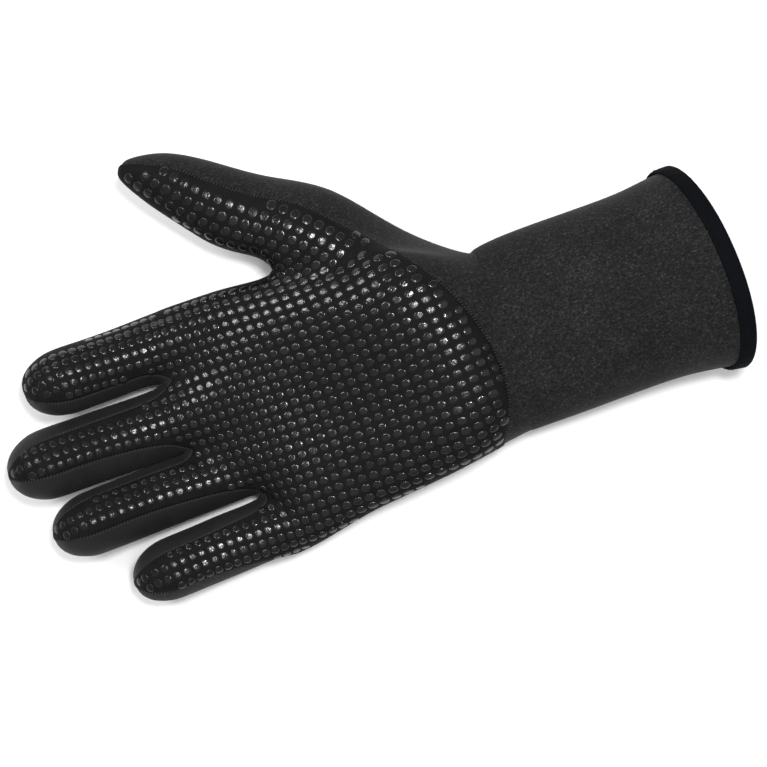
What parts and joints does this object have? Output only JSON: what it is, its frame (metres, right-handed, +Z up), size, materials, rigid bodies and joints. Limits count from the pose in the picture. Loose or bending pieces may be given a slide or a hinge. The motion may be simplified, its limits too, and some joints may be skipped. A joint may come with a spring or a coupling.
{
  "type": "diving glove",
  "caption": "Soft foam-rubber diving glove with closed fingers, a dotted grip palm, finger gussets and a long open cuff with a bound edge.",
  "frame": {"origin": "on the flat underside of the back of the hand, under the middle of the palm", "axes": "+X from the fingertips to the cuff, +Y towards the thumb, +Z up out of the palm"},
  "size_m": [0.3028, 0.1744, 0.0568],
  "materials": {
    "palm_panel": "satin black rubberised fabric with raised dots",
    "back_and_cuff": "charcoal heathered stretch knit laminated to foam",
    "gusset": "smooth black jersey",
    "cuff_binding": "black folded tape"
  },
  "bodies": {
    "root": {"palm_panel": "palm_panel", "back_and_cuff": "back_and_cuff", "gusset_index_middle": "gusset", "gusset_middle_ring": "gusset", "gusset_ring_little": "gusset", "cuff_binding": "cuff_binding"}
  },
  "joints": []
}
